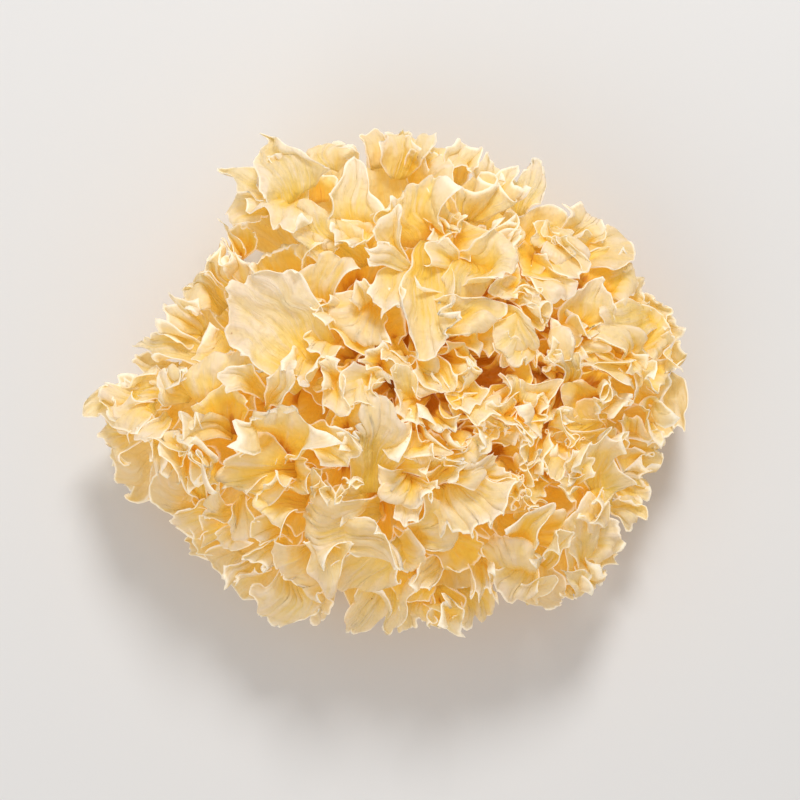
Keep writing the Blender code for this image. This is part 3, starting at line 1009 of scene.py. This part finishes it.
def makeFrondFinish():
    finish = Finish("dried frond")
    opened = finish.attribute("open")
    edge = finish.attribute("edge")
    tone = finish.attribute("tint")
    hollow = finish.attribute("hollow")
    clear = finish.attribute("clear")
    place = finish.attribute("place", "Vector")
    where = finish.node("ShaderNodeTexCoord", {}, {}, out="Object")
    own = finish.attribute("rise")
    cloud = finish.noise(where, frondFinish["cloudScale"], 3.0)
    dents = finish.noise(where, frondFinish["dentScale"], 2.0)
    grain = finish.noise(finish.stretched(place, frondFinish["grainStretch"]), 1.0, 3.0)
    folds = finish.noise(finish.stretched(place, frondFinish["foldStretch"]), 1.0, 2.0)
    ridges = {"noise_type": "RIDGED_MULTIFRACTAL", "normalize": False}
    crease = finish.noise(where, frondFinish["creaseScale"], 3.0, **ridges)

    # partly how deep a place sits in the head, where it is truly more amber, and partly painted light:
    # painted shade where little light gets in, in hollows and near the roots, and paler painted light near
    # the rims
    part = frondFinish["depth"]
    depth = opened - tone * part["tone"] - hollow * part["hollow"]
    depth = depth + (own - part["fromRise"]) * part["rise"]
    depth = depth + (1 - edge.ramp(0, part["edgeWidth"])) * part["edge"]
    depth = depth + (cloud - 0.5) * part["cloud"] + (folds - 0.5) * part["folds"]
    # lit: how open to light a place is, which scales the painted highlights below
    lit = depth.ramp(*frondFinish["lit"])

    white = frondFinish["white"]
    # the colour starts from the painted pocket shade, and each layer above it comes in by depth and painted
    # shade
    colour = frondFinish["pocketShade"]
    for name, low, high in frondFinish["layers"]:
        colour = finish.mix(depth.ramp(low, high), colour, frondFinish[name])
    colour = finish.mix(clear * frondFinish["glassyShare"], colour, frondFinish["glassy"])
    # painted shade in the fold valleys, then painted highlights on the fold ridges and on the creases
    low, high, share = frondFinish["shadedFolds"]
    colour = finish.mix((1 - folds.ramp(low, high)) * share, colour, frondFinish["honey"])
    low, high, share = frondFinish["highlightFolds"]
    colour = finish.mix(folds.ramp(low, high) * lit * share, colour, white)
    low, high, share = frondFinish["lightGrain"]
    colour = finish.mix(grain.ramp(low, high) * share, colour, white)
    low, high, share = frondFinish["highlightCrease"]
    colour = finish.mix(crease.ramp(low, high) * lit * share, colour, white)
    # painted highlight along the rims, stronger where lit
    rim = 1 - edge.ramp(*frondFinish["rimWidth"])
    inDark, inLight = frondFinish["rimHighlight"]
    colour = finish.mix(rim * (inDark + lit * inLight), colour, white)
    dotted = {"Vector": where, "Scale": frondFinish["speckScale"]}
    dots = finish.node("ShaderNodeTexVoronoi", {}, dotted, out="Distance")
    specks = (1 - dots.ramp(*frondFinish["speckSize"])) * cloud.ramp(*frondFinish["speckCloud"])
    colour = finish.mix(specks * frondFinish["speckShare"], colour, frondFinish["speck"])

    # painted glow for light passing through the sheets: dark orange in the pockets, warm in the open, pale
    # along the rims
    deepEnd, openEnd = frondFinish["glowLayers"]
    glow = finish.mix(depth.ramp(*deepEnd), frondFinish["glowPocket"], frondFinish["glowDeep"])
    glow = finish.mix(depth.ramp(*openEnd), glow, frondFinish["glowOpen"])
    inDark, inLight = frondFinish["rimGlow"]
    glow = finish.mix(rim * (inDark + lit * inLight), glow, frondFinish["glowRim"])

    bumps = frondFinish["bumps"]
    height = dents * bumps["dents"] + folds * bumps["folds"]
    height = height + grain * bumps["grain"] + crease * bumps["crease"]
    bump = finish.node("ShaderNodeBump", {}, {
        "Strength": frondFinish["bumpStrength"], "Distance": frondFinish["bumpDistance"], "Height": height,
    })
    finish.fill(finish.shader, {
        "Base Color": colour, "Roughness": frondFinish["roughness"], "Normal": bump,
        "Specular IOR Level": frondFinish["shine"], "Emission Color": glow,
        "Emission Strength": frondFinish["glow"],
    })
    lightThrough = {"Color": frondFinish["through"], "Normal": bump}
    through = finish.node("ShaderNodeBsdfTranslucent", {}, lightThrough)
    sheet = Wire(finish, finish.shader.outputs[0])
    both = finish.node("ShaderNodeMixShader", {}, {0: frondFinish["seeThrough"], 1: sheet, 2: through})
    finish.fill(finish.output, {"Surface": both})
    return finish.material


frondMaterial = makeFrondFinish()
total = 0
for node, members in pieces.items():
    piece = buildPiece(node.replace("_frond_", "_ruffle_"), members, frondMaterial)
    total += len(piece.data.polygons) * 2
    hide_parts(node)
    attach(piece, "root")
    node.split("_")[0] + "_frond"
print("pieces:", len(pieces), "triangles:", total)


# The base keeps its solid and gets a woody finish

baseFinish = {
    "brown": (0.36, 0.15, 0.04, 1),
    "tan": (0.66, 0.38, 0.13, 1),
    "roughness": 0.75,
    "knotScale": 160.0,
    "gritScale": 700.0,
    "gritShare": 0.3,
    "bumpStrength": 0.8,
    "bumpDistance": 0.0008,
}


def makeBaseFinish():
    finish = Finish("hard base")
    where = finish.node("ShaderNodeTexCoord", {}, {}, out="Object")
    knots = finish.noise(where, baseFinish["knotScale"], 4.0)
    grit = finish.noise(where, baseFinish["gritScale"], 3.0)
    colour = finish.mix(knots.ramp(0.35, 0.65), baseFinish["brown"], baseFinish["tan"])
    height = knots + grit * baseFinish["gritShare"]
    bump = finish.node("ShaderNodeBump", {}, {
        "Strength": baseFinish["bumpStrength"], "Distance": baseFinish["bumpDistance"], "Height": height,
    })
    rough = baseFinish["roughness"]
    finish.fill(finish.shader, {"Base Color": colour, "Roughness": rough, "Normal": bump})
    return finish.material


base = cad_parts["base"]
baseMaterial = makeBaseFinish()
for slot in base.material_slots:
    slot.material = baseMaterial


# Floor, light and camera

studio = {
    "floor": (0.80, 0.79, 0.78, 1),
    "floorRoughness": 0.8,
    "world": 0.53,
    "worldColour": (1, 0.985, 0.97, 1),
    "aim": (0, 0, 30 * mm),
    "imageWidth": 221.8 * mm,     # what the camera sees across, at the level of the rims
    "imageMiddle": (3.7 * mm, -4.9 * mm, 30 * mm),
    "cameraRise": 750 * mm,
    "sensor": 36,
}

bpy.ops.mesh.primitive_plane_add(size=4, location=(0, 0, 0))
floor = bpy.context.object
floor.name = "floor"
floorFinish = Finish("pale floor")
floorLook = {"Base Color": studio["floor"], "Roughness": studio["floorRoughness"]}
floorFinish.fill(floorFinish.shader, floorLook)
floor.data.materials.append(floorFinish.material)

world = bpy.data.worlds.new("studio")
bpy.context.scene.world = world
world.use_nodes = True
backdrop = world.node_tree.nodes["Background"]
backdrop.inputs["Color"].default_value = studio["worldColour"]
backdrop.inputs["Strength"].default_value = studio["world"]


def softBox(name, place, size, power):
    light = bpy.data.lights.new(name, "AREA")
    light.shape = "DISK"
    light.size = size
    light.energy = power
    lamp = bpy.data.objects.new(name, light)
    lamp.location = place
    lamp.rotation_euler = (Vector(place) - Vector(studio["aim"])).to_track_quat("Z", "Y").to_euler()
    bpy.context.collection.objects.link(lamp)


softBox("key", (0.1, 0.75, 0.85), 0.30, 6.5)
softBox("fill", (-0.6, -0.6, 0.8), 0.9, 2)
bpy.context.scene.view_settings.view_transform = "Standard"

camera = bpy.data.cameras.new("camera")
camera.sensor_width = studio["sensor"]
camera.lens = studio["sensor"] * studio["cameraRise"] / studio["imageWidth"]
eye = bpy.data.objects.new("camera", camera)
middle = Vector(studio["imageMiddle"])
eye.location = middle + Vector((0, 0, studio["cameraRise"]))
bpy.context.collection.objects.link(eye)
bpy.context.scene.camera = eye
